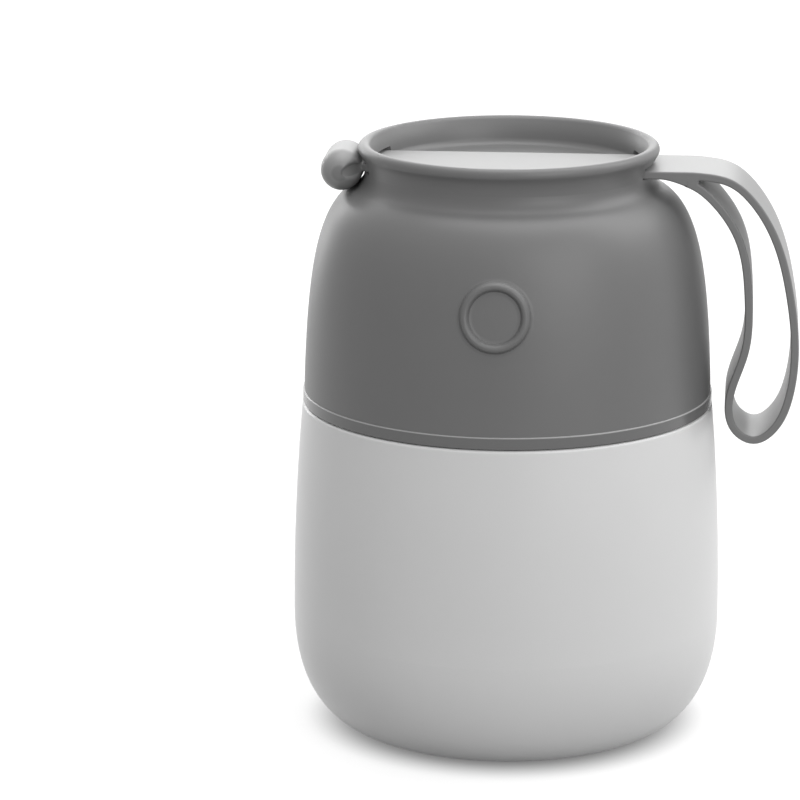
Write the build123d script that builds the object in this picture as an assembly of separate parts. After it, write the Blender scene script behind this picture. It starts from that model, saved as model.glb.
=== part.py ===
from build123d import *
import os
from math import cos, pi, radians, sin, sqrt

# An insulated food jar: a double-walled steel body, a tall screw-on lid with a flared
# rim round a recess, and one flat silicone strap that crosses the recess, is stopped by
# a barrel on one side and ends in a carrying loop on the other.
# Millimetres, +Z up. The origin is on the jar's axis at the floor, the raised ring on
# the lid faces -Y and the strap lies along X with its loop at +X.

# Body, outside
body_height = 80.4  # floor to the shoulder that the lid closes down on
belly_radius = 52.0  # the widest place
belly_height = 28.0
shoulder_draw = 2.4  # how much narrower the shoulder is than the belly
shoulder_edge = 0.8
belly_reach = 19.0  # how far down the lower corner holds to the belly
foot_radius = 34.0  # outer edge of the ring that it stands on
foot_reach = 10.0  # how far out the lower corner holds to the floor
foot_width = 2.0
hem_height = 6.0  # the shell's edge turned up inside the foot
hem_corner = 0.7
sheet = 0.5  # steel sheet

# Body, inside
vacuum_gap = 3.5
neck_height = 27.6  # shoulder to the mouth
neck_vacuum_gap = 1.3
neck_root = 1.0
lip_corner = 0.8
flare_start = 4.0  # below the shoulder, where the liner starts to widen
flare_drop = 15.0
flare_reach = 6.0
liner_floor = 8.5
liner_floor_radius = 32.0
liner_reach = 13.0
liner_foot_reach = 10.0
floor_land = 6.0  # flat rim of a pressed disc, outside its step
floor_step = 1.0
step_run = 5.0
foil = 0.12
foil_gap = 0.3

# Bottom discs and what the vacuum needs
disc_fit = 0.05
seal_disc_height = 3.4
seal_disc_rim = 2.2
cover_height = 1.0
cover_rim = 1.6
well_radius = 4.0
well_depth = 1.6
well_slope = 1.5
vent_radius = 0.8
bead_radius = 3.2
bead_depth = 1.1
getter_offset = 16.0
getter_radius = 4.4
getter_height = 2.2
getter_sheet = 0.3
getter_lip = 1.0
getter_corner = 0.4

# Lid
run_gap = 0.3  # between pieces that turn or slide past each other
band_step = 0.1  # how much smaller the dark band is than the body's shoulder
lid_step = 0.3  # and the lid's skirt than the band
band_height = 2.8
band_edge = 0.3
lid_height = 63.2  # shoulder of the body to the crest of the rim
lid_wall = 2.2
lid_taper = 0.03
lid_reach = 28.0  # how far up the dome holds to the skirt
lid_draw = 14.8  # how much narrower the throat is than the skirt
dome_angle = 25.0  # slope of the dome where the throat's groove starts
dome_reach = 10.0
groove_radius = 4.6
flare_radius = 7.5
flare_angle = 35.0
lip_radius = 1.5
recess_depth = 6.7
recess_corner = 2.0
thread_depth = 1.2
cap_wall = 1.6
cap_top_wall = 2.0
cap_corner = 0.6
gasket_height = 2.6
gasket_lip = 2.4
gasket_lip_width = 0.8
gasket_corner = 0.4
plug_clearance = 1.7
plug_depth = 8.0

# Raised ring on the front of the lid
badge_rise = 30.9  # shoulder of the body to the ring's centre
badge_radius = 7.1
badge_width = 2.6
badge_height = 0.8
badge_round = 1.2

# Strap
strap_width = 21.5
strap_thickness = 1.9
strap_seat = 0.1
slot_side_gap = 0.9
slot_top_gap = 0.8
barrel_radius = 4.5
barrel_drop = 0.5
barrel_gap = 0.65
neck_fillet = 1.0
hinge_standoff = 4.2  # throat to the line about which the loop bends
root_thickness = 3.4
root_length = 4.4
crotch_round = 0.5
strap_edge = 0.4
# The loop's line: out from the lid's skirt, and up from the bending line
loop_line = [
    (-1.5, 0.35),
    (3.8, -1.0),
    (9.2, -5.6),
    (15.3, -16.1),
    (18.45, -28.1),
    (19.85, -39.2),
    (18.7, -52.9),
    (15.4, -60.3),
    (10.7, -63.3),
    (6.2, -61.0),
    (4.45, -55.0),
    (7.85, -42.5),
    (8.5, -28.2),
    (5.9, -15.0),
    (-0.9, -5.2),
]
loop_bottom = 8  # where that line turns back up
loop_spans = 24  # curve pieces along each leg of the loop
curve_span = 4.0  # spacing of the points that an offset curve is drawn through

# Sizes that follow
shoulder_radius = belly_radius - shoulder_draw
side_rise = body_height - belly_height
side_bend = (side_rise**2 + shoulder_draw**2) / (2 * shoulder_draw)
hem_radius = foot_radius - foot_width
mouth = body_height + neck_height
band_radius = shoulder_radius - band_step
band_low = body_height + run_gap
skirt_low = band_low + band_height
skirt_radius = band_radius - lid_step
crest = body_height + lid_height
flare_rise = flare_radius * sin(radians(flare_angle))
throat = crest - flare_rise - lip_radius * (1 + sin(radians(flare_angle)))
throat_radius = skirt_radius - lid_draw
flare_centre = throat_radius + flare_radius
throat_wall = 2 * lip_radius
recess_floor = crest - recess_depth
ceiling = recess_floor - lid_wall
cap_under = mouth + run_gap + gasket_height
cap_top = cap_under + cap_top_wall
strap_low = recess_floor + strap_seat
strap_top = strap_low + strap_thickness
hinge_x = throat_radius + hinge_standoff
hinge_z = strap_top - root_thickness / 2


def turned(face):
    """A profile drawn as (radius, height), turned round the jar's axis."""
    return revolve(Plane.XZ * face, Axis.Z)


def ribbon(path, thickness, side, closed=True):
    """A path offset to one side or to both, with its offset curves as plain splines."""
    edges = []
    for edge in path.offset_2d(thickness, side=side, closed=closed).edges():
        if edge.geom_type == GeomType.OFFSET:
            spans = max(8, round(edge.length / curve_span))
            places = [edge @ (index / spans) for index in range(spans + 1)]
            edge = Spline(*places, tangents=(edge % 0, edge % 1), tangent_scalars=(1, 1))
        edges.append(edge)
    return edges


def closed_to_axis(curve):
    """Face between a profile that climbs all the way and the jar's axis."""
    ends = sorted((curve @ 0, curve @ 1), key=lambda end: end.Y)
    closing = Polyline(
        (ends[1].X, ends[1].Y), (0, ends[1].Y), (0, ends[0].Y), (ends[0].X, ends[0].Y)
    )
    return make_face([*curve.edges(), *closing.edges()])


def pressed(path, thickness, side):
    """Sheet of one thickness along a profile, turned round the jar's axis."""
    return turned(make_face(ribbon(path, thickness, side)))


def rounded(path, corners):
    """The path with a radius at each named corner."""
    for place, radius in corners:
        corner = path.vertices().sort_by_distance(Vector(*place))[0]
        path = path.fillet_2d(radius, [corner])
    return path


def outline(*points):
    return make_face(Polyline(*points, close=True))


def side_radius(height, inset=0.0):
    """Radius of the body's bowed side, or of a wall that lies inside it."""
    reach = (side_bend - inset) ** 2 - (height - belly_height) ** 2
    return belly_radius - side_bend + sqrt(reach)


def side_arc(top, inset=0.0):
    heights = (top, (top + belly_height) / 2, belly_height)
    return ThreePointArc(*[(side_radius(height, inset), height) for height in heights])


def pressed_step(rim, low, step):
    """A disc's profile from its rim to the axis, with its middle raised by a step."""
    outer = rim - floor_land
    inner = outer - step_run
    ease = step_run / 2
    high = low + step
    rise = Bezier((outer, low), (outer - ease, low), (inner + ease, high), (inner, high))
    return [Line((rim, low), (outer, low)), rise, Line((inner, high), (0, high))]


# Lid profiles, which the neck inside it is sized from

dome_end = (
    throat_radius + groove_radius * (1 - sin(radians(dome_angle))),
    throat - groove_radius * cos(radians(dome_angle)),
)
dome = Bezier(
    (skirt_radius, skirt_low),
    (skirt_radius - lid_taper * lid_reach, skirt_low + lid_reach),
    (
        dome_end[0] + dome_reach * cos(radians(dome_angle)),
        dome_end[1] - dome_reach * sin(radians(dome_angle)),
    ),
    dome_end,
)
groove = TangentArc(dome_end, (throat_radius, throat), tangent=dome % 1)


def radius_on(curve, height):
    """Radius at which a profile that climbs all the way passes a height."""
    low, high = 0.0, 1.0
    while high - low > 1e-9:
        middle = (low + high) / 2
        if (curve @ middle).Y < height:
            low = middle
        else:
            high = middle
    return (curve @ low).X


def lid_cavity(inset=0.0, low=skirt_low):
    """Room inside the lid's wall, or inside that room by a clearance, above a height."""
    wall = Wire(ribbon(Wire([dome, groove]), lid_wall + inset, Side.LEFT, closed=False))
    over = Rectangle(3 * skirt_radius, lid_height, align=(Align.CENTER, Align.MIN))
    under = Rectangle(3 * skirt_radius, lid_height, align=(Align.CENTER, Align.MAX))
    return closed_to_axis(wall) - Pos(0, ceiling - inset) * over - Pos(0, low) * under


cap_radius = radius_on(dome, cap_top) - lid_wall - run_gap
cap_inner = cap_radius - cap_wall
neck_radius = cap_inner - run_gap - thread_depth
mouth_radius = neck_radius - sheet - neck_vacuum_gap - sheet
plug_radius = mouth_radius - plug_clearance


def outer_shell():
    """Painted outer wall with its shoulder, its neck and the hem turned up at the foot."""
    neck = Polyline(
        (neck_radius, mouth - sheet),
        (neck_radius, body_height),
        (shoulder_radius, body_height),
    )
    corner = Bezier(
        (belly_radius, belly_height),
        (belly_radius, belly_height - belly_reach),
        (foot_radius + foot_reach, 0),
        (foot_radius, 0),
    )
    hem = Polyline((foot_radius, 0), (hem_radius, 0), (hem_radius, hem_height))
    path = Wire([*neck.edges(), side_arc(body_height), corner, *hem.edges()])
    corners = [
        ((neck_radius, body_height), neck_root),
        ((shoulder_radius, body_height), shoulder_edge),
        ((hem_radius, 0), hem_corner),
    ]
    return pressed(rounded(path, corners), sheet, Side.RIGHT)


def liner_lower_path():
    """The liner's food side from its flare down to the edge of its floor."""
    inset = 2 * sheet + vacuum_gap
    flare_low = body_height - flare_start - flare_drop
    side = side_arc(flare_low, inset)
    lean = (side % 0) * -flare_reach
    flare = Bezier(
        (mouth_radius, flare_low + flare_drop),
        (mouth_radius, flare_low + flare_drop - flare_reach),
        ((side @ 0).X + lean.X, flare_low + lean.Y),
        ((side @ 0).X, flare_low),
    )
    belly = belly_radius - inset
    corner = Bezier(
        (belly, belly_height),
        (belly, belly_height - liner_reach),
        (liner_floor_radius + liner_foot_reach, liner_floor),
        (liner_floor_radius, liner_floor),
    )
    return flare, side, corner


def inner_liner():
    """Steel food vessel, welded to the shell's neck by the flange round its mouth."""
    mouth_path = Polyline(
        (neck_radius, mouth),
        (mouth_radius, mouth),
        (mouth_radius, body_height - flare_start),
    )
    path = Wire([*mouth_path.edges(), *liner_lower_path()])
    return pressed(rounded(path, [((mouth_radius, mouth), lip_corner)]), sheet, Side.LEFT)


def liner_bottom():
    path = Wire(pressed_step(liner_floor_radius - disc_fit, liner_floor, floor_step))
    return pressed(path, sheet, Side.LEFT)


def radiation_foil():
    """Foil wrapped round the liner inside the vacuum, below its flare."""
    wrap = Wire(liner_lower_path()[1:])
    inner = Wire(ribbon(wrap, sheet + foil_gap, Side.LEFT, closed=False))
    return pressed(inner, foil, Side.LEFT)


def outer_bottom():
    """Disc that closes the vacuum, with the sealing well in its middle."""
    rim = hem_radius - disc_fit
    low = seal_disc_height
    path = Wire(
        Polyline(
            (rim, low + seal_disc_rim),
            (rim, low),
            (well_radius + well_slope, low),
            (well_radius, low + well_depth),
            (vent_radius, low + well_depth),
        ).edges()
    )
    return pressed(rounded(path, [((rim, low), hem_corner)]), sheet, Side.RIGHT)


def vacuum_seal():
    """Bead of solder glass that closes the vent from below."""
    top = seal_disc_height + well_depth
    bulge = (bead_radius**2 + bead_depth**2) / (2 * bead_depth)
    above = Box(3 * bulge, 3 * bulge, 3 * bulge, align=(Align.CENTER, Align.CENTER, Align.MIN))
    return Pos(0, 0, top - bead_depth + bulge) * Sphere(bulge) - Pos(0, 0, top) * above


def base_cover():
    """Plain disc pressed into the hem, over the sealing well."""
    rim = hem_radius - disc_fit
    upright = Line((rim, cover_height + cover_rim), (rim, cover_height))
    path = Wire([upright, *pressed_step(rim, cover_height, floor_step)])
    return pressed(rounded(path, [((rim, cover_height), hem_corner)]), sheet, Side.RIGHT)


def getter_place():
    return Pos(getter_offset, 0, seal_disc_height + sheet)


def getter_holder():
    """Small crimped cup, spot-welded to the disc inside the vacuum."""
    path = Wire(
        Polyline(
            (getter_radius - getter_lip, getter_height),
            (getter_radius, getter_height),
            (getter_radius, 0),
            (0, 0),
        ).edges()
    )
    corners = [((getter_radius, getter_height), getter_corner), ((getter_radius, 0), getter_corner)]
    return getter_place() * pressed(rounded(path, corners), getter_sheet, Side.RIGHT)


def getter_pellet():
    radius = getter_radius - getter_sheet - disc_fit
    height = getter_height - 2 * getter_sheet - disc_fit
    pellet = turned(outline((0, 0), (radius, 0), (radius, height), (0, height)))
    pellet = chamfer(pellet.edges(), getter_sheet / 2)
    return getter_place() * Pos(0, 0, getter_sheet) * pellet


def rim_profile():
    """The whole lid's outline to the axis: dome, throat, flared rim and recess."""
    lean = radians(flare_angle)
    flare_out = (flare_centre - flare_radius * cos(lean), throat + flare_rise)
    lip_centre = (flare_out[0] - lip_radius * cos(lean), flare_out[1] + lip_radius * sin(lean))
    lip_in = (lip_centre[0] - lip_radius * cos(lean), lip_centre[1] + lip_radius * sin(lean))
    bore = flare_radius + throat_wall
    drop = recess_floor - throat
    floor_edge = (flare_centre - sqrt(bore**2 - drop**2), recess_floor)
    rim = TangentArc((throat_radius, throat), flare_out, tangent=(0, 1))
    lip = ThreePointArc(flare_out, (lip_centre[0], lip_centre[1] + lip_radius), lip_in)
    middle = lean / 2
    wall = ThreePointArc(
        lip_in, (flare_centre - bore * cos(middle), throat + bore * sin(middle)), floor_edge
    )
    closing = Polyline(floor_edge, (0, recess_floor), (0, skirt_low), (skirt_radius, skirt_low))
    face = make_face([dome, groove, rim, lip, wall, *closing.edges()])
    corner = face.vertices().sort_by_distance(Vector(*floor_edge))[0]
    return fillet(corner, recess_corner)


def badge_ring():
    """Round bead that follows the dome, standing a little out of it."""
    crown = Wire(ribbon(Wire([dome]), badge_height, Side.RIGHT, closed=False))
    height = body_height + badge_rise
    depth = radius_on(dome, height - badge_radius) + badge_radius
    tube = Circle(badge_radius + badge_width / 2) - Circle(badge_radius - badge_width / 2)
    start = Plane(origin=(0, -badge_radius - radius_on(dome, height) / 2, height), z_dir=(0, -1, 0))
    bead = turned(closed_to_axis(crown)) & extrude(start * tube, depth)
    return fillet(bead.faces().filter_by(GeomType.REVOLUTION).edges(), badge_round)


def strap_slots():
    """The way of the strap through both sides of the rim's throat."""
    return Pos(0, 0, recess_floor) * Box(
        3 * throat_radius,
        strap_width + 2 * slot_side_gap,
        strap_seat + strap_thickness + slot_top_gap,
        align=(Align.CENTER, Align.CENTER, Align.MIN),
    )


def lid_shell():
    """Moulded outside of the lid: dome, throat, flared rim, recess, slots and ring."""
    body = turned(rim_profile()) + badge_ring()
    return body - turned(lid_cavity(0)) - strap_slots()


def threaded_cap():
    """Inner moulding: visible band, threaded skirt, and the plug that enters the mouth."""
    plug_low = mouth - plug_depth
    plug_inner = plug_radius - cap_wall
    face = outline(
        (cap_inner, band_low),
        (band_radius, band_low),
        (band_radius, skirt_low),
        (cap_radius, skirt_low),
        (cap_radius, cap_top),
        (plug_inner, cap_top),
        (plug_inner, plug_low + cap_top_wall),
        (0, plug_low + cap_top_wall),
        (0, plug_low),
        (plug_radius, plug_low),
        (plug_radius, cap_under),
        (cap_inner, cap_under),
    )
    rounds = [
        ((band_radius, skirt_low), band_edge),
        ((plug_radius, plug_low), cap_corner),
        ((cap_radius, cap_top), cap_corner),
    ]
    for place, radius in rounds:
        face = fillet(face.vertices().sort_by_distance(Vector(*place))[0], radius)
    return turned(face)


def lid_gasket():
    """Silicone seal: a flat ring over the mouth with a lip down inside it."""
    inner = plug_radius + run_gap
    outer = cap_inner - run_gap
    low = mouth + run_gap
    face = outline(
        (inner, low - gasket_lip),
        (inner + gasket_lip_width, low - gasket_lip),
        (inner + gasket_lip_width, low),
        (outer, low),
        (outer, cap_under),
        (inner, cap_under),
    )
    face = fillet(face.vertices().sort_by_distance(Vector(outer, low))[0], gasket_corner)
    return turned(face)


def lid_foam():
    """Insulation that fills the lid above the cap and inside its plug."""
    block = lid_cavity(run_gap, cap_top + run_gap)
    plug_room = plug_radius - cap_wall - run_gap
    plug_floor = mouth - plug_depth + cap_top_wall + run_gap
    top = cap_top + cap_top_wall
    in_plug = outline((0, plug_floor), (plug_room, plug_floor), (plug_room, top), (0, top))
    return turned(block + in_plug)


def strap(face):
    """The strap's section in the plane of the jar's front, carried across its width."""
    band = extrude(Plane.XZ * face, strap_width / 2, both=True)
    sides = [side for side in band.faces() if abs(side.normal_at().Y) > 0.99]
    return fillet([edge for side in sides for edge in side.edges()], strap_edge)


def strap_band():
    """The strap from its barrel, through both slots, to the line where the loop bends."""
    start = -(throat_radius + barrel_gap + barrel_radius)
    end = hinge_x - root_thickness / 2 - run_gap
    middle = (strap_low + strap_top) / 2
    band = Pos((start + end) / 2, middle) * Rectangle(end - start, strap_thickness)
    face = band + Pos(start, middle - barrel_drop) * Circle(barrel_radius)
    neck = [v for v in face.vertices() if start < v.X < start + barrel_radius]
    return strap(fillet(neck, neck_fillet))


def beside(line, offset):
    """Spline that runs beside a line, at a distance to its left."""
    places = []
    for index in range(loop_spans + 1):
        part = index / loop_spans
        places.append(line @ part + (line % part).rotate(Axis.Z, 90) * offset)
    return Spline(*places, tangents=(line % 0, line % 1), tangent_scalars=(1, 1))


def strap_loop():
    """The carrying loop: a thicker root, and two legs that part at a crotch."""
    root_end = hinge_x + root_length
    step = (root_thickness - strap_thickness) / 2
    places = [(skirt_radius + out, hinge_z + up) for out, up in loop_line]
    line = Spline(
        (root_end, hinge_z + step),
        *places,
        (root_end, hinge_z - step),
        tangents=((1, 0), (-1, 0)),
        tangent_scalars=(1, 1),
    )
    bottom = line.param_at_point(Vector(*places[loop_bottom]))
    legs = (line.trim(0, bottom), line.trim(bottom, 1))
    outside = [beside(leg, strap_thickness / 2) for leg in legs]
    inside = [beside(leg, -strap_thickness / 2) for leg in legs]
    crotch = min(inside[0].find_intersection_points(inside[1]), key=lambda point: point.X)
    hole = Wire(
        [
            inside[0].trim(inside[0].param_at_point(crotch), 1),
            inside[1].trim(0, inside[1].param_at_point(crotch)),
        ]
    )
    root_top = (hinge_x, hinge_z + root_thickness / 2)
    root_under = (hinge_x, hinge_z - root_thickness / 2)
    root = [
        Line(outside[1] @ 1, root_under),
        ThreePointArc(root_under, (hinge_x - root_thickness / 2, hinge_z), root_top),
        Line(root_top, outside[0] @ 0),
    ]
    face = Face(Wire([*outside, *root]), [hole])
    corner = face.vertices().sort_by_distance(crotch)[0]
    return strap(face.fillet_2d(crotch_round, [corner]))


pieces = {
    "outer_shell": outer_shell(),
    "inner_liner": inner_liner(),
    "liner_bottom": liner_bottom(),
    "radiation_foil": radiation_foil(),
    "outer_bottom": outer_bottom(),
    "vacuum_seal": vacuum_seal(),
    "getter_holder": getter_holder(),
    "getter_pellet": getter_pellet(),
    "base_cover": base_cover(),
    "lid_shell": lid_shell(),
    "threaded_cap": threaded_cap(),
    "lid_foam": lid_foam(),
    "lid_gasket": lid_gasket(),
    "strap_band": strap_band(),
    "strap_loop": strap_loop(),
}

os.makedirs("parts", exist_ok=True)
for name, piece in pieces.items():
    export_step(piece, f"parts/{name}.step")
    print(name, round(piece.volume), "mm3")
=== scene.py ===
import math

import bpy
import numpy as np
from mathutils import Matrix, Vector


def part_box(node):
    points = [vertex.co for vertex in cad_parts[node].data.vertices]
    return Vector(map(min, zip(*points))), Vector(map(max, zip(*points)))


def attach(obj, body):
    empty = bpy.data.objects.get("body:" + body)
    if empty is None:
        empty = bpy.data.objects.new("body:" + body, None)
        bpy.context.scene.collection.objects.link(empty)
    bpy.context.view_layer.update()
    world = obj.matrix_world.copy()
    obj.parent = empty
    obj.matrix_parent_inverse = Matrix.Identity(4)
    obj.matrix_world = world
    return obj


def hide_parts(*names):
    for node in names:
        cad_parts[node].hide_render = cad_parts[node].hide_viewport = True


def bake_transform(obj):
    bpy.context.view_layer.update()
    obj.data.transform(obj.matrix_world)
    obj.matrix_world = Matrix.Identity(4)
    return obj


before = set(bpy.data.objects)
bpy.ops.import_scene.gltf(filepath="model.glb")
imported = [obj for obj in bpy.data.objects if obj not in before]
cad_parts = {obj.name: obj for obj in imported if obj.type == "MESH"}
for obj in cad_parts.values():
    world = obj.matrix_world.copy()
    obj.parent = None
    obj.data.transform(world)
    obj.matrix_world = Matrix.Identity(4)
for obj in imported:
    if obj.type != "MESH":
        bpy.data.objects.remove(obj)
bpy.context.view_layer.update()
mm = 0.001
print("frame loaded:", len(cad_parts), "nodes")


# a socket that reads as a number, so that a mask is written as an expression
class Signal:
    def __init__(self, nodes, socket):
        self.nodes = nodes
        self.socket = socket

    def reckon(self, kind, first, second=0.0):
        return self.nodes.add("ShaderNodeMath", {"operation": kind}, {0: first, 1: second})

    def __add__(self, other):
        return self.reckon("ADD", self, other)

    def __sub__(self, other):
        return self.reckon("SUBTRACT", self, other)

    def __rsub__(self, other):
        return self.reckon("SUBTRACT", other, self)

    def __mul__(self, other):
        return self.reckon("MULTIPLY", self, other)

    def __pow__(self, other):
        return self.reckon("POWER", self, other)

    def __rpow__(self, other):
        return self.reckon("POWER", other, self)

    def __abs__(self):
        return self.reckon("ABSOLUTE", self)

    __radd__ = __add__
    __rmul__ = __mul__

    def above(self, edge, soft):  # 0 below the edge, 1 above it, soft over this much to each side
        return self.nodes.add(
            "ShaderNodeMapRange",
            {"interpolation_type": "SMOOTHSTEP"},
            {0: self, 1: edge - soft, 2: edge + soft, 3: 0.0, 4: 1.0},
        )


# a tree of nodes, each made from its type, its settings and its sockets
class Nodes:
    def __init__(self, tree):
        self.tree = tree

    def put(self, node, socket, value):
        target = node.inputs[socket]
        if isinstance(value, Signal):
            self.tree.links.new(value.socket, target)
        elif target.type == "RGBA" and len(value) == 3:
            target.default_value = (*value, 1.0)
        else:
            target.default_value = value

    def add(self, kind, settings=None, sockets=None, out=0):
        node = self.tree.nodes.new(kind)
        for name, value in (settings or {}).items():
            setattr(node, name, value)
        for socket, value in (sockets or {}).items():
            self.put(node, socket, value)
        return Signal(self, node.outputs[out])

    def beside(self, signal, name):  # another output of the same node
        return Signal(self, signal.socket.node.outputs[name])

    def mix(self, amount, first, second):  # the first colour where amount is 0, the second where 1
        return self.add(
            "ShaderNodeMix",
            {"data_type": "RGBA"},
            {"Factor": amount, 6: first, 7: second},
            out=2,
        )


# one material, with a Principled shader at its end
class Paint(Nodes):
    def __init__(self, name, sockets):
        self.material = bpy.data.materials.new(name)
        self.material.use_nodes = True
        super().__init__(self.material.node_tree)
        self.shader = next(n for n in self.tree.nodes if n.type == "BSDF_PRINCIPLED")
        self.use(sockets)

    def use(self, sockets):
        for socket, value in sockets.items():
            self.put(self.shader, socket, value)
        return self.material

    def place(self):  # object coordinates in millimetres
        raw = self.add("ShaderNodeTexCoord", out="Object")
        return self.add("ShaderNodeVectorMath", {"operation": "SCALE"}, {0: raw, "Scale": 1 / mm})

    def axes(self):  # the same, as three numbers
        x = self.add("ShaderNodeSeparateXYZ", None, {0: self.place()}, out="X")
        return x, self.beside(x, "Y"), self.beside(x, "Z")

    def lathe(self):  # radius from the jar's axis and height, in millimetres
        x, y, z = self.axes()
        return (x * x + y * y) ** 0.5, z

    def grain(self, size, where=None, detail=2.0):  # noise of one size in millimetres
        sockets = {"Vector": where or self.place(), "Scale": 1 / size, "Detail": detail}
        return self.add("ShaderNodeTexNoise", None, sockets)

    def lines(self, size, radius, height):  # noise that runs round the axis
        return self.grain(size, self.add("ShaderNodeCombineXYZ", None, {0: radius, 2: height}))

    def tint(self, pattern, shade, spread):  # the shade, darker and lighter by a share of itself
        dark = tuple(c * (1 - spread) for c in shade)
        light = tuple(c * (1 + spread) for c in shade)
        return self.mix(pattern, dark, light)

    def relief(self, height, depth):  # bump whose full height is depth millimetres
        bump = self.add("ShaderNodeBump", None, {"Height": height, "Distance": depth * mm, "Strength": 1.0})
        self.put(self.shader, "Normal", bump)


def vary(level, pattern, spread):  # a number that a pattern moves up and down
    return level + (pattern - 0.5) * spread


bodyPaintLook = {
    "shade": (0.72, 0.72, 0.72),
    "cloudSize": 18.0,  # mm, faint patches in the shade
    "cloudSpread": 0.015,
    "rough": 0.33,
    "roughSpread": 0.06,
    "grainSize": 0.35,  # mm, the fine texture of the coat
    "grainDepth": 0.012,
    "paintEdge": 48.3,  # mm from the axis, where the coat ends on the shoulder
    "paintEdgeSoft": 0.1,
    "footHeight": 60.0,  # below this height the coat also covers what is nearer the axis
    "footSoft": 1.0,
    "steel": (0.40, 0.40, 0.395),
    "steelRough": 0.36,
    "lineSize": 0.12,
    "lineSpread": 0.12,
}


def bodyPaint():
    look = bodyPaintLook
    paint = Paint("bodyPaint", {"Specular IOR Level": 0.5})
    radius, height = paint.lathe()
    side = radius.above(look["paintEdge"], look["paintEdgeSoft"])
    foot = 1.0 - height.above(look["footHeight"], look["footSoft"])
    coat = side + foot - side * foot
    bare = 1.0 - coat
    grain = paint.grain(look["grainSize"])
    lines = paint.lines(look["lineSize"], radius, height)
    shade = paint.tint(paint.grain(look["cloudSize"]), look["shade"], look["cloudSpread"])
    coatRough = vary(look["rough"], grain, look["roughSpread"])
    steelRough = vary(look["steelRough"], lines, look["lineSpread"])
    paint.relief(grain * coat, look["grainDepth"])
    return paint.use({
        "Base Color": paint.mix(coat, look["steel"], shade),
        "Metallic": bare,
        "Roughness": coatRough * coat + steelRough * bare,
    })


mouldedLook = {  # what the moulded pieces share
    "cloudSize": 9.0,
    "cloudSpread": 0.03,
    "roughSpread": 0.08,
}

lidPlasticLook = {
    "shade": (0.148, 0.148, 0.148),
    "rough": 0.42,
    "grainSize": 0.22,
    "grainDepth": 0.010,
    "ringHeight": 111.3,  # centre of the raised ring, which the moulding blends into the dome
    "ringRadius": 7.1,
    "ringReach": 2.0,  # mm from the ring's crest to where it has run out
    "ringRise": 0.62,
    "ringBefore": -20.0,  # along y, so that the back of the lid has no ring
    "ringBeforeSoft": 1.0,
}

capPlasticLook = {
    "shade": (0.14, 0.14, 0.14),
    "rough": 0.22,
    "grainSize": 0.22,
    "grainDepth": 0.010,
    "paintedEdgeHighlight": (0.34, 0.34, 0.34),  # the band's upper edge, painted lighter as a highlight where its ledge catches the light from above
    "edgeHeight": 83.25,
    "edgeRadius": 48.9,
    "edgeSoft": 0.1,
}

strapLook = {
    "shade": (0.26, 0.26, 0.26),
    "rough": 0.42,
    "grainSize": 0.16,
    "grainDepth": 0.006,
    "paintedSideShade": (0.195, 0.195, 0.195),  # the two flat sides, painted darker as shade that the light from above leaves on them
    "sideFrom": 10.5,  # mm to each side, along y
    "sideSoft": 0.15,
}

gasketLook = {
    "shade": (0.66, 0.66, 0.65),
    "rough": 0.4,
    "grainSize": 0.3,
    "grainDepth": 0.004,
}


def moulded(name, look):
    paint = Paint(name, {"Specular IOR Level": 0.5})
    x, y, z = paint.axes()
    grain = paint.grain(look["grainSize"])
    height = grain * look["grainDepth"]
    shade = paint.tint(paint.grain(mouldedLook["cloudSize"]), look["shade"], mouldedLook["cloudSpread"])
    if "ringHeight" in look:
        rise = z - look["ringHeight"]
        crest = look["ringReach"] - abs((x * x + rise * rise) ** 0.5 - look["ringRadius"])
        ridge = crest.above(look["ringReach"] / 2, look["ringReach"] / 2)
        front = 1.0 - y.above(look["ringBefore"], look["ringBeforeSoft"])
        height = height + ridge * front * look["ringRise"]
    # painted highlight: the upper outer edge of the band made lighter, standing in for light caught by the
    # ledge
    if "edgeHeight" in look:
        radius = (x * x + y * y) ** 0.5
        upper = z.above(look["edgeHeight"], look["edgeSoft"])
        outer = radius.above(look["edgeRadius"], look["edgeSoft"])
        shade = paint.mix(upper * outer, shade, look["paintedEdgeHighlight"])
    # painted shade: the flat sides darker than the top, as the light falls
    if "sideFrom" in look:
        side = abs(y).above(look["sideFrom"], look["sideSoft"])
        shade = paint.mix(side, shade, look["paintedSideShade"])
    paint.relief(height, 1.0)
    rough = vary(look["rough"], grain, mouldedLook["roughSpread"])
    return paint.use({"Base Color": shade, "Roughness": rough})


spunLook = {  # what the pieces of bare steel share
    "cloudSize": 14.0,
    "cloudSpread": 0.05,
    "cloudRough": 0.05,
    "lineRough": 0.16,
}

linerLook = {
    "shade": (0.74, 0.74, 0.73),
    "rough": 0.36,
    "metal": 0.8,
    "lineSize": 0.10,
    "lineDepth": 0.002,
}

neckLook = {
    "shade": (0.40, 0.40, 0.395),
    "rough": 0.36,
    "metal": 1.0,
    "lineSize": 0.10,
    "lineDepth": 0.002,
}

baseLook = {
    "shade": (0.58, 0.58, 0.57),
    "rough": 0.26,
    "metal": 1.0,
    "lineSize": 0.09,
    "lineDepth": 0.003,
}


def spunSteel(name, look):  # lines run round the axis, as a lathe or a polishing wheel leaves them
    paint = Paint(name, {"Metallic": look["metal"]})
    radius, height = paint.lathe()
    lines = paint.lines(look["lineSize"], radius, height)
    cloud = paint.grain(spunLook["cloudSize"])
    shade = paint.tint(cloud, look["shade"], spunLook["cloudSpread"])
    rough = vary(look["rough"], lines, spunLook["lineRough"])
    paint.relief(lines, look["lineDepth"])
    return paint.use({"Base Color": shade, "Roughness": vary(rough, cloud, spunLook["cloudRough"])})


foilLook = {
    "rough": 0.12,
    "creaseSize": 3.0,
    "creaseDetail": 5.0,
    "creaseDepth": 0.15,
    "dark": (0.78, 0.78, 0.8),
    "light": (0.9, 0.9, 0.91),
}


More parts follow.
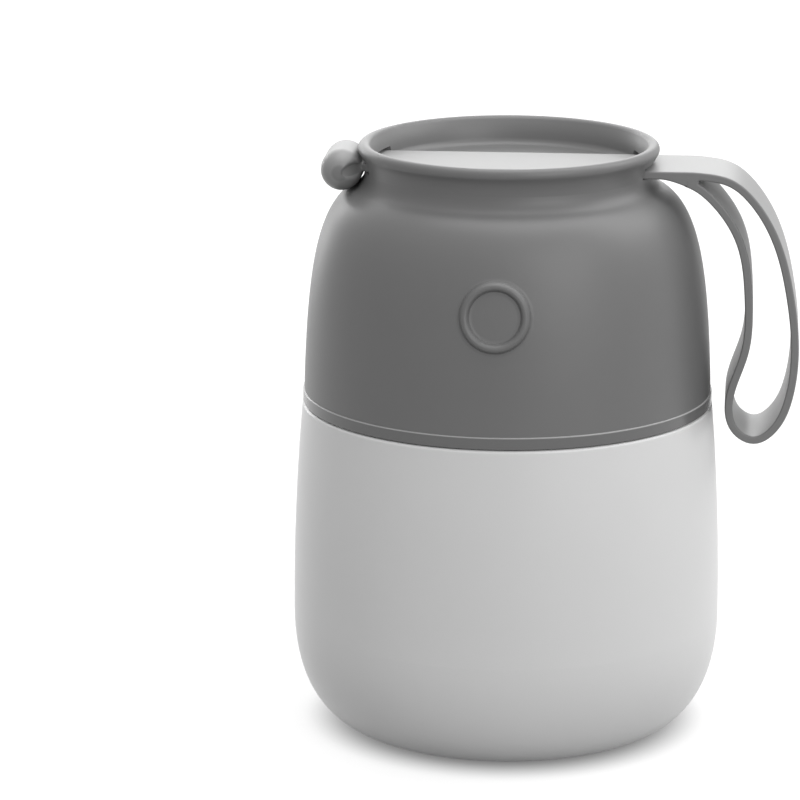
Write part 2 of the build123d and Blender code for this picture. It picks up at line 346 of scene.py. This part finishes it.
def foilMetal():
    look = foilLook
    paint = Paint("radiationFoil", {"Metallic": 1.0, "Roughness": look["rough"]})
    creases = paint.grain(look["creaseSize"], detail=look["creaseDetail"])
    paint.relief(creases, look["creaseDepth"])
    return paint.use({"Base Color": paint.mix(creases, look["dark"], look["light"])})


sealLook = {
    "rough": 0.08,
    "specular": 0.6,
    "cloudSize": 1.5,
    "dark": (0.012, 0.012, 0.011),
    "light": (0.03, 0.03, 0.028),
}


def sealGlass():
    look = sealLook
    paint = Paint("solderGlass", {"Roughness": look["rough"], "Specular IOR Level": look["specular"]})
    return paint.use({"Base Color": paint.mix(paint.grain(look["cloudSize"]), look["dark"], look["light"])})


tabletLook = {
    "rough": 0.8,
    "speckSize": 0.12,
    "speckDetail": 4.0,
    "speckDepth": 0.05,
    "dark": (0.02, 0.02, 0.022),
    "light": (0.08, 0.08, 0.085),
}


def getterTablet():
    look = tabletLook
    paint = Paint("getterTablet", {"Roughness": look["rough"]})
    specks = paint.grain(look["speckSize"], detail=look["speckDetail"])
    paint.relief(specks, look["speckDepth"])
    return paint.use({"Base Color": paint.mix(specks, look["dark"], look["light"])})


foamLook = {
    "rough": 0.95,
    "cellScale": 1.6,  # cells to a millimetre
    "cellDepth": 0.2,
    "dark": (0.60, 0.58, 0.50),
    "light": (0.80, 0.78, 0.72),
}


def insulatingFoam():
    look = foamLook
    paint = Paint("insulatingFoam", {"Roughness": look["rough"]})
    cells = paint.add("ShaderNodeTexVoronoi", None, {"Vector": paint.place(), "Scale": look["cellScale"]})
    paint.relief(cells, look["cellDepth"])
    return paint.use({"Base Color": paint.mix(cells, look["dark"], look["light"])})


def clad(node, material):
    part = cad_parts[node]
    part.data.materials.clear()
    part.data.materials.append(material)
    for face in part.data.polygons:
        face.material_index = 0


lidPlastic = moulded("lidPlastic", lidPlasticLook)
capPlastic = moulded("capPlastic", capPlasticLook)
strapSilicone = moulded("strapSilicone", strapLook)
gasketSilicone = moulded("gasketSilicone", gasketLook)
linerSteel = spunSteel("linerSteel", linerLook)
neckSteel = spunSteel("neckSteel", neckLook)
baseSteel = spunSteel("baseSteel", baseLook)

clad("outer_shell", bodyPaint())
clad("inner_liner", linerSteel)
clad("liner_bottom", linerSteel)
clad("radiation_foil", foilMetal())
clad("outer_bottom", baseSteel)
clad("base_cover", baseSteel)
clad("vacuum_seal", sealGlass())
clad("getter_holder", baseSteel)
clad("getter_pellet", getterTablet())
clad("lid_shell", lidPlastic)
clad("threaded_cap", capPlastic)
clad("lid_foam", insulatingFoam())
clad("lid_gasket", gasketSilicone)
print("materials on the solids done")


def shownMesh(name, points, faces, material, body):
    mesh = bpy.data.meshes.new(name)
    mesh.from_pydata([tuple(c * mm for c in p) for p in points], [], faces)
    mesh.validate()
    for face in mesh.polygons:
        face.use_smooth = True
    piece = bpy.data.objects.new(name, mesh)
    bpy.context.scene.collection.objects.link(piece)
    mesh.materials.append(material)
    if body:
        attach(piece, body)
    return piece


# screw threads, one on the neck and one inside the cap
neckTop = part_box("outer_shell")[1].z / mm
threadLook = {  # what both ridges share, in mm
    "lead": 5.0,
    "width": 3.0,
    "endWidth": 0.4,  # share of the width that is left where a ridge has run out
    "endHeight": 0.02,  # and share of the height
    "fade": 0.16,  # share of a turn over which each end runs out
    "crestPower": 0.8,  # below 1 makes the crest fuller
    "sink": 0.12,  # how far the ridge reaches into its wall
    "steps": 120,  # along one turn
    "across": 10,
}
neckThreadSizes = {
    "wall": 41.39,  # radius of the wall that carries the ridge
    "height": 0.95,
    "start": 16.0,  # below the neck's top, where the ridge's middle starts
    "turns": 2.0,
}
capThreadSizes = {
    "wall": 42.89,
    "height": -0.42,  # below 0, because the ridge stands inwards
    "start": 13.5,
    "turns": 0.9,  # short, so that it stays under the gasket while the lid rises
}


def threadRidge(name, sizes, material, body):
    look = threadLook
    wall, height, turns = sizes["wall"], sizes["height"], sizes["turns"]
    outward = 1.0 if height > 0 else -1.0
    root = wall - outward * look["sink"]
    start = neckTop - sizes["start"]
    steps, across = int(turns * look["steps"]), look["across"]
    points, faces = [], []
    for step in range(steps + 1):
        turn = step / look["steps"]
        angle = 2 * math.pi * turn
        ends = min(turn, turns - turn) / look["fade"]
        swell = max(look["endHeight"], math.sin(math.pi / 2 * min(1.0, ends)))
        middle = start + look["lead"] * turn
        width = look["width"] * (look["endWidth"] + (1 - look["endWidth"]) * swell)
        ring = [(root, middle - width / 2)]
        for place in range(across + 1):
            t = place / across
            lift = height * swell * (0.5 - 0.5 * math.cos(2 * math.pi * t)) ** look["crestPower"]
            ring.append((wall + lift, middle + width * (t - 0.5)))
        ring.append((root, middle + width / 2))
        for radius, z in ring:
            points.append((radius * math.cos(angle), radius * math.sin(angle), z))
    count = len(ring)
    for step in range(steps):
        for place in range(count):
            a = step * count + place
            b = step * count + (place + 1) % count
            quad = (a, b, b + count, a + count)
            faces.append(quad if outward < 0 else quad[::-1])
    first = tuple(range(count))
    last = tuple(steps * count + k for k in range(count))
    faces.append(first[::-1] if outward < 0 else first)
    faces.append(last if outward < 0 else last[::-1])
    return shownMesh(name, points, faces, material, body)


threadRidge("neck_thread", neckThreadSizes, neckSteel, "jar")
threadRidge("cap_thread", capThreadSizes, capPlastic, "lid")
print("threads done")


# the strap: one moulding from its barrel to the loop
strapSizes = {
    "width": 21.5,
    "thick": 1.9,
    "low": 137.0,  # height of the band's underside
    "hinge": (38.6, 137.2),  # x and height of the bending line
    "bendReach": 1.8,  # the strap bends over this much to each side of that line
    "skirt": 49.2,  # x of the lid's skirt
    "rootThick": 3.75,
    "rootEnd": 43.0,
    "rootFrom": 36.6,  # where the band starts to grow into the root, along x
    "rootPower": 1.5,
    "rootSlope": 0.35,
    "barrel": (-39.6, 137.2),
    "barrelRadius": 5.0,
    "barrelRound": 4.4,
    "barrelSteps": 22,
    "domeStretch": 1.25,  # length of the barrel's domed ends, as a multiple of barrelRound
    "domeFrom": 0.6,  # distance from the barrel's neck at which its rounding starts to grow
    "domeGrow": 3.4,
    "neckRound": 0.4,
    "neckSteps": 4,
    "neckTaper": 4.7,  # how much narrower each side is where the band leaves the barrel
    "taperReach": 4.0,
    "edgeRound": 0.42,
    "roundSteps": 9,
    "crotchRound": 0.5,
    "crotchSteps": 6,
    "crotchApart": 3,  # outline points from the crotch back to the last pair of the trunk
    "step": 0.8,  # between the points of the outline
    "bandGaps": (1.0, 0.9),  # left free between the band's first and last points and their neighbours
    "line": [  # the loop, out from the lid's skirt and up from the bending line
        (-1.5, 0.45), (3.8, -0.8), (9.35, -5.4), (15.4, -16.0), (18.5, -28.1), (19.85, -39.2), (18.7, -52.9),
        (15.4, -60.3), (10.7, -63.3), (6.2, -61.0), (4.45, -55.0), (7.85, -42.5), (8.6, -28.2), (6.3, -15.0),
        (0.0, -5.4),
    ],
}


# a smooth line through the knots with a given way at each end, as evenly spaced points
def clampedSpline(knots, startWay, endWay, spacing):
    samples = 4000
    knots = np.array(knots, float)
    gaps = np.linalg.norm(np.diff(knots, axis=0), axis=1)
    t = np.concatenate([[0.0], np.cumsum(gaps)])
    n = len(knots)
    grid, right = np.zeros((n, n)), np.zeros((n, 2))
    grid[0, 0], right[0] = 1.0, startWay
    grid[-1, -1], right[-1] = 1.0, endWay
    for i in range(1, n - 1):
        a, b = gaps[i - 1], gaps[i]
        grid[i, i - 1], grid[i, i], grid[i, i + 1] = b, 2 * (a + b), a
        right[i] = 3 * (b * (knots[i] - knots[i - 1]) / a + a * (knots[i + 1] - knots[i]) / b)
    slopes = np.linalg.solve(grid, right)
    fine = np.linspace(0, t[-1], samples)
    seg = np.clip(np.searchsorted(t, fine, side="right") - 1, 0, n - 2)
    h = gaps[seg]
    u = ((fine - t[seg]) / h)[:, None]
    h = h[:, None]
    curve = (
        knots[seg] * (2 * u**3 - 3 * u**2 + 1)
        + slopes[seg] * h * (u**3 - 2 * u**2 + u)
        + knots[seg + 1] * (3 * u**2 - 2 * u**3)
        + slopes[seg + 1] * h * (u**3 - u**2)
    )
    run = np.concatenate([[0.0], np.cumsum(np.linalg.norm(np.diff(curve, axis=0), axis=1))])
    stops = np.linspace(0, run[-1], int(run[-1] / spacing) + 1)
    return np.column_stack([np.interp(stops, run, curve[:, k]) for k in (0, 1)])


def sideways(line, distance):  # the same line, moved to its left
    way = np.gradient(line, axis=0)
    way /= np.linalg.norm(way, axis=1)[:, None]
    return line + np.column_stack([-way[:, 1], way[:, 0]]) * distance


def between(line, place):  # the point at a fractional place along a polyline
    low = min(int(place), len(line) - 2)
    return line[low] + (line[low + 1] - line[low]) * (place - low)


def crossing(first, second):  # where two polylines first cross, as a place along each
    parallel = 1e-12
    for i in range(len(first) - 1):
        a, da = first[i], first[i + 1] - first[i]
        for j in range(len(second) - 1):
            b, db = second[j], second[j + 1] - second[j]
            grid = np.array([da, -db]).T
            if abs(np.linalg.det(grid)) < parallel:
                continue
            s, u = np.linalg.solve(grid, b - a)
            if 0 <= s <= 1 and 0 <= u <= 1:
                return i + s, j + u


def inward(outline, sign):  # unit normals of a closed outline
    outline = np.array(outline)
    way = np.roll(outline, -1, axis=0) - np.roll(outline, 1, axis=0)
    way /= np.linalg.norm(way, axis=1)[:, None]
    return np.column_stack([way[:, 1], -way[:, 0]]) * sign


def eased(t):  # 0 to 1 with a soft start and end
    return t * t * (3 - 2 * t)


# an arc that touches the inside of both legs, and the loop's points next to it on each leg
def crotchArc(middle, inside):
    s = strapSizes
    low = int(np.argmin(middle[:, 1]))
    core = sideways(middle, -s["thick"] / 2 - s["crotchRound"])
    i, j = crossing(core[:low], core[low:])
    centre, upperEnd, lowerEnd = between(core, i), between(inside, i), between(inside, low + j)
    a = math.atan2(*(upperEnd - centre)[::-1])
    b = math.atan2(*(lowerEnd - centre)[::-1]) % (2 * math.pi)
    turns = [b + (a - b) * k / s["crotchSteps"] for k in range(s["crotchSteps"] + 1)]
    arc = [tuple(centre + s["crotchRound"] * np.array([math.cos(t), math.sin(t)])) for t in turns]
    return arc, math.ceil(i), low + math.floor(j)


# the roll and the fillet where the band leaves it, as pairs of a point above and a point below
def barrelPairs(top):
    s = strapSizes
    x, z = s["barrel"]
    r, f = s["barrelRadius"], s["neckRound"]
    up, down = top + f - z, z - (s["low"] - f)
    upX, downX = math.sqrt((r + f) ** 2 - up**2), math.sqrt((r + f) ** 2 - down**2)
    upAngle, downAngle = math.atan2(up, upX), math.atan2(down, downX)
    pairs = []
    for k in range(s["barrelSteps"] + 1):
        t = 1 - k / s["barrelSteps"]
        a = upAngle + (math.pi - upAngle) * t
        b = downAngle + (math.pi - downAngle) * t
        pairs.append((
            (x + r * math.cos(a), z + r * math.sin(a)),
            (x + r * math.cos(b), z - r * math.sin(b)),
        ))
    for k in range(1, s["neckSteps"] + 1):
        t = k / s["neckSteps"]
        a = upAngle + (math.pi / 2 - upAngle) * t
        b = downAngle + (math.pi / 2 - downAngle) * t
        pairs.append((
            (x + upX - f * math.cos(a), z + up - f * math.sin(a)),
            (x + downX - f * math.cos(b), z - down + f * math.sin(b)),
        ))
    return pairs


def strapOutline():
    s = strapSizes
    half = s["thick"] / 2
    top = s["low"] + s["thick"]
    bendHeight = s["hinge"][1]
    knots = [(s["rootEnd"], top - half)]
    knots += [(s["skirt"] + out, bendHeight + up) for out, up in s["line"]]
    knots += [(s["rootEnd"], top - s["rootThick"] + half)]
    middle = clampedSpline(knots, (1, 0), (-1, s["rootSlope"]), s["step"])
    outside, inside = sideways(middle, half), sideways(middle, -half)
    crotch, first, last = crotchArc(middle, inside)
    # the trunk: barrel, band and root, in pairs up to a little before the crotch
    pairs = barrelPairs(top)
    start = max(pairs[-1][0][0], pairs[-1][1][0]) + s["bandGaps"][0]
    for x in np.arange(start, s["rootEnd"] - s["bandGaps"][1], s["step"]):
        grow = max(0.0, (x - s["rootFrom"]) / (s["rootEnd"] - s["rootFrom"])) ** s["rootPower"]
        pairs.append(((x, top), (x, s["low"] - grow * (s["rootThick"] - s["thick"]))))
    apart = s["crotchApart"]
    above, below = outside[: first - apart + 1], outside[last + apart :][::-1]
    count = max(len(above), len(below))
    for k in range(count):
        t = k / (count - 1)
        a, b = between(above, t * (len(above) - 1)), between(below, t * (len(below) - 1))
        pairs.append((tuple(a), tuple(b)))
    shoulderTop = [tuple(p) for p in outside[first - apart + 1 : first + 1]]
    shoulderLow = [tuple(p) for p in outside[last : last + apart]]
    legs = [(tuple(outside[k]), tuple(inside[k])) for k in range(first + 1, last)]
    return pairs, shoulderTop, shoulderLow, crotch, legs


def strapMesh():
    s = strapSizes
    pairs, shoulderTop, shoulderLow, crotch, legs = strapOutline()
    tip, trunk = pairs[0][0], pairs[1:]
    # the outline runs over the top, round the outside of the loop and back underneath
    outer = [tip] + [p[0] for p in trunk] + shoulderTop + [p[0] for p in legs] + shoulderLow
    outer += [p[1] for p in trunk[::-1]]
    hole = crotch + [p[1] for p in legs]
    flat = np.array(outer + hole)
    normals = np.vstack([inward(outer, 1.0), inward(hole, -1.0)])
    nOut, nHole, nTrunk, nLegs = len(outer), len(hole), len(trunk), len(legs)
    # small rounds along the band and the loop, domed ends on the barrel
    neckX = s["barrel"][0] + s["barrelRadius"]
    away = np.hypot(flat[:, 0] - neckX, flat[:, 1] - (s["low"] + s["thick"] / 2))
    bulge = eased(np.clip((away - s["domeFrom"]) / s["domeGrow"], 0, 1) * (flat[:, 0] < neckX))
    rounds = s["edgeRound"] + (s["barrelRound"] - s["edgeRound"]) * bulge
    domes = rounds * (1 + (s["domeStretch"] - 1) * bulge)
    taper = s["neckTaper"] * eased(1 - np.clip(away / s["taperReach"], 0, 1))
    halves = s["width"] / 2 - taper
    # rows of points from the flat side at -Y to the one at +Y
    levels = [(-1, k) for k in reversed(range(s["roundSteps"] + 1))]
    levels += [(1, k) for k in range(s["roundSteps"] + 1)]
    points, rows = [], []
    for side, k in levels:
        tilt = math.pi / 2 * k / s["roundSteps"]
        y = side * (halves - domes * (1 - math.sin(tilt)))
        spot = flat + normals * (rounds * (1 - math.cos(tilt)))[:, None]
        rows.append(len(points))
        points += [(spot[n][0], y[n], spot[n][1]) for n in range(len(flat))]
    faces = []
    for low, high in zip(rows, rows[1:]):
        for n in range(nOut):
            m = (n + 1) % nOut
            faces.append((low + n, low + m, high + m, high + n))
        for n in range(nHole):
            m = (n + 1) % nHole
            faces.append((low + nOut + m, low + nOut + n, high + nOut + n, high + nOut + m))
    # side walls, from the numbers of the outline's points: the trunk, then the legs
    above = [1 + n for n in range(nTrunk)]
    below = [nOut - 1 - n for n in range(nTrunk)]
    legOut = [1 + nTrunk + len(shoulderTop) + n for n in range(nLegs)]
    legIn = [nOut + len(crotch) + n for n in range(nLegs)]
    wall = [(0, above[0], below[0])]
    wall += [(above[n], above[n + 1], below[n + 1], below[n]) for n in range(nTrunk - 1)]
    wall += [(legOut[n], legOut[n + 1], legIn[n + 1], legIn[n]) for n in range(nLegs - 1)]
    # round the crotch: along the top to the legs, back round the arc, and along the underside
    around = list(range(above[-1], legOut[0] + 1))
    around += [legIn[0]] + [nOut + k for k in reversed(range(len(crotch)))] + [legIn[-1]]
    around += list(range(legOut[-1], below[-1] + 1))
    wall.append(tuple(around))
    for face in wall:
        faces.append(tuple(rows[0] + n for n in face)[::-1])
        faces.append(tuple(rows[-1] + n for n in face))
    return points, faces


points, faces = strapMesh()
strap = shownMesh("strap", points, faces, strapSilicone, None)
crisp = strap.modifiers.new("flatFaces", "WEIGHTED_NORMAL")
crisp.keep_sharp = True
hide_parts("strap_band", "strap_loop")
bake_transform(strap)
print("strap done:", len(points), "points")


# floor, world, lamps and camera, in metres
roomLook = {
    "floorReach": 6.0,
    "floorShade": 0.25,
    "glowAndPaintedShadow": (0.20, 0.80, 0.86),  # for backdropRays alone: a painted shadow under the jar, the level round it and far off
    "paintedShadowEdge": (0.036, 0.051),  # from the axis, where the painted shadow under the jar changes to the second level
    # from the axis, where the second level rises to the third, so the floor is a little darker nearer the
    # jar
    "glowFar": (0.16, 0.55),
    "world": 0.60,  # for all rays but backdropRays, which see white
}
lamps = {  # place, what it points at, size and power
    "top": {"at": (0.05, 0.10, 1.25), "to": (0, 0, 0.1), "size": (1.0, 1.0), "watts": 7.4},
    "back": {"at": (-0.15, 1.15, 0.60), "to": (0, 0, 0.1), "size": (1.0, 0.9), "watts": 5.0},
    "rightFront": {"at": (0.70, -0.95, 0.50), "to": (0, 0, 0.07), "size": (0.8, 0.9), "watts": 4.6},
    "topRight": {"at": (0.85, 0.25, 0.90), "to": (0, 0, 0.1), "size": (0.8, 0.8), "watts": 4.6},
    "leftBack": {"at": (-0.55, 0.68, 0.25), "to": (0, 0, 0.07), "size": (0.10, 0.7), "watts": 1.3},
}


def backdropRays(nodes):  # 1 for rays from the camera, off a glossy surface or through glass
    camera = nodes.add("ShaderNodeLightPath", out="Is Camera Ray")
    return camera + nodes.beside(camera, "Is Glossy Ray") + nodes.beside(camera, "Is Transmission Ray")


def grey(level):
    return level, level, level


def buildFloor():
    far = roomLook["floorReach"]
    mesh = bpy.data.meshes.new("floor")
    mesh.from_pydata([(-far, -far, 0), (far, -far, 0), (far, far, 0), (-far, far, 0)], [], [(0, 1, 2, 3)])
    floor = bpy.data.objects.new("floor", mesh)
    bpy.context.scene.collection.objects.link(floor)
    paint = Paint("floorWhite", {
        "Base Color": grey(roomLook["floorShade"]),
        "Roughness": 1.0,
        "Specular IOR Level": 0.0,
        "Emission Strength": 1.0,
    })
    radius = paint.lathe()[0]
    # the floor's glow for backdropRays, with a painted shadow under the jar
    glowAndPaintedShadow = grey(roomLook["glowAndPaintedShadow"][0])
    for (inner, outer), level in zip((roomLook["paintedShadowEdge"], roomLook["glowFar"]), roomLook["glowAndPaintedShadow"][1:]):
        step = radius.above((inner + outer) / 2 / mm, (outer - inner) / 2 / mm)
        glowAndPaintedShadow = paint.mix(step, glowAndPaintedShadow, grey(level))
    paint.use({"Emission Color": paint.mix(backdropRays(paint), grey(0.0), glowAndPaintedShadow)})
    mesh.materials.append(paint.material)


def buildWorld():
    world = bpy.data.worlds.new("room")
    bpy.context.scene.world = world
    world.use_nodes = True
    air = Nodes(world.node_tree)
    sky = world.node_tree.nodes["Background"]
    air.put(sky, "Color", air.mix(backdropRays(air), grey(roomLook["world"]), grey(1.0)))
    air.put(sky, "Strength", 1.0)


def buildLamps():
    for name, lamp in lamps.items():
        data = bpy.data.lights.new(name, "AREA")
        data.shape = "RECTANGLE"
        data.size, data.size_y = lamp["size"]
        data.energy = lamp["watts"]
        light = bpy.data.objects.new(name, data)
        bpy.context.scene.collection.objects.link(light)
        light.location = lamp["at"]
        way = Vector(lamp["to"]) - Vector(lamp["at"])
        light.rotation_euler = way.to_track_quat("-Z", "Y").to_euler()


cameraSet = {
    "at": (0.0573, -0.9101, 0.3172),
    "tilt": (75.40, 0.03, 5.23),  # degrees
    "lens": 174.5,
    "sensor": 36.0,
}


def buildCamera():
    data = bpy.data.cameras.new("camera")
    data.lens = cameraSet["lens"]
    data.sensor_width = cameraSet["sensor"]
    camera = bpy.data.objects.new("camera", data)
    bpy.context.scene.collection.objects.link(camera)
    camera.location = cameraSet["at"]
    camera.rotation_euler = [math.radians(a) for a in cameraSet["tilt"]]
    bpy.context.scene.camera = camera
    bpy.context.scene.view_settings.view_transform = "Standard"


buildFloor()
buildWorld()
buildLamps()
buildCamera()
print("scene ready")
